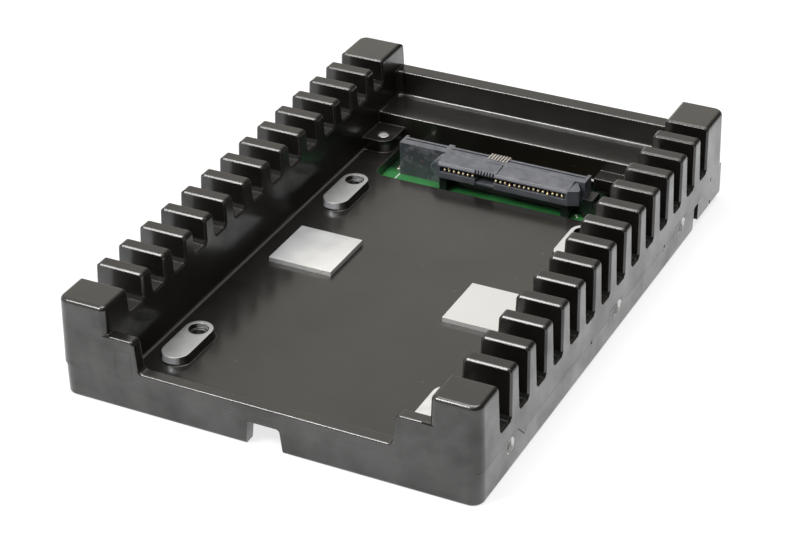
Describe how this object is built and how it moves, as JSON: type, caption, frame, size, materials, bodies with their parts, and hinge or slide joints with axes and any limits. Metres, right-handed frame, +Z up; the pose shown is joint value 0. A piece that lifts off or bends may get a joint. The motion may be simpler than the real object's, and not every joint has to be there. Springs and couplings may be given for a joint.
{
  "type": "drive bay adapter bracket",
  "caption": "Finned black die-cast frame that holds a 2.5 inch drive on raised bosses and carries its combined data and power connector to the place where a 3.5 inch drive has its own.",
  "frame": {"origin": "centre of the footprint, on the plane that the bracket rests on", "axes": "+X across the bracket to the side of the rear plug, +Y along it to the connector end, +Z up out of the open bay"},
  "size_m": [0.1016, 0.146, 0.0248],
  "materials": {
    "painted_casting": "satin black paint with a fine orange peel on an aluminium die casting, bare metal at tapped holes and on the machined bosses",
    "board_green": "green solder mask",
    "steel_screw": "plain zinc plated steel",
    "connector_plastic": "moulded black plastic with a faint glass-fibre grain",
    "contact_gold": "gold plated contact metal",
    "tinned_metal": "tin plated sheet metal",
    "carrier_plastic": "moulded black plastic",
    "heat_pad": "pale grey silicone heat pad"
  },
  "bodies": {
    "root": {"frame_casting": "painted_casting", "adapter_board": "board_green", "board_screws": "steel_screw", "receptacle_housing": "connector_plastic", "receptacle_signal_contacts": "contact_gold", "receptacle_power_contacts": "contact_gold", "receptacle_second_port_contacts": "contact_gold", "receptacle_board_locks": "tinned_metal", "plug_housing": "connector_plastic", "plug_signal_contacts": "contact_gold", "plug_power_contacts": "contact_gold", "plug_board_locks": "tinned_metal", "connector_carrier": "carrier_plastic", "thermal_pad_left": "heat_pad", "thermal_pad_right": "heat_pad"}
  },
  "joints": []
}
